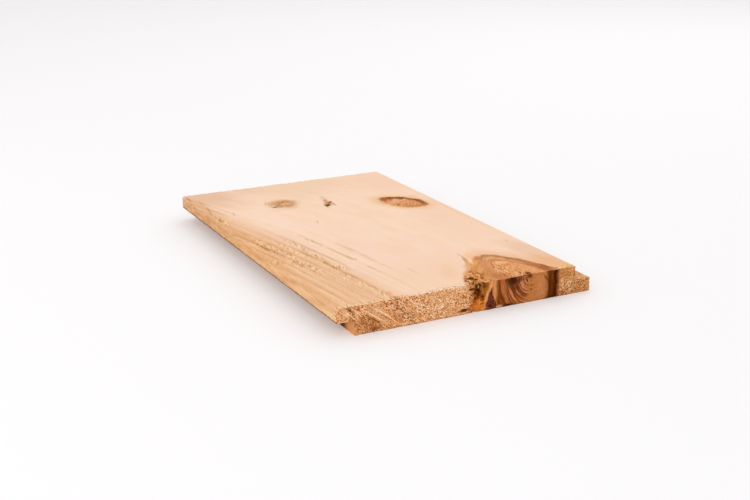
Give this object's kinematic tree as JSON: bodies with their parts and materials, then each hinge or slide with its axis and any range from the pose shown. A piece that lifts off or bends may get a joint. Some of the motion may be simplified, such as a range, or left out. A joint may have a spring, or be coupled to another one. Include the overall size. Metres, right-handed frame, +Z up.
{
  "type": "shiplap board",
  "caption": "Short length of planed knotty pine shiplap boarding with a half-thickness lap along each long edge, used to clad a wall or ceiling.",
  "frame": {"origin": "middle of the underside, on the surface that the board lies on", "axes": "+Z up out of the face, +Y along the grain, away from the knotty end, +X across the board from the upper lap to the lower lap"},
  "size_m": [0.184, 0.282, 0.0188],
  "materials": {
    "pine": "planed, unfinished knotty pine with sawn ends"
  },
  "bodies": {
    "root": {"shiplap_board": "pine"}
  },
  "joints": []
}
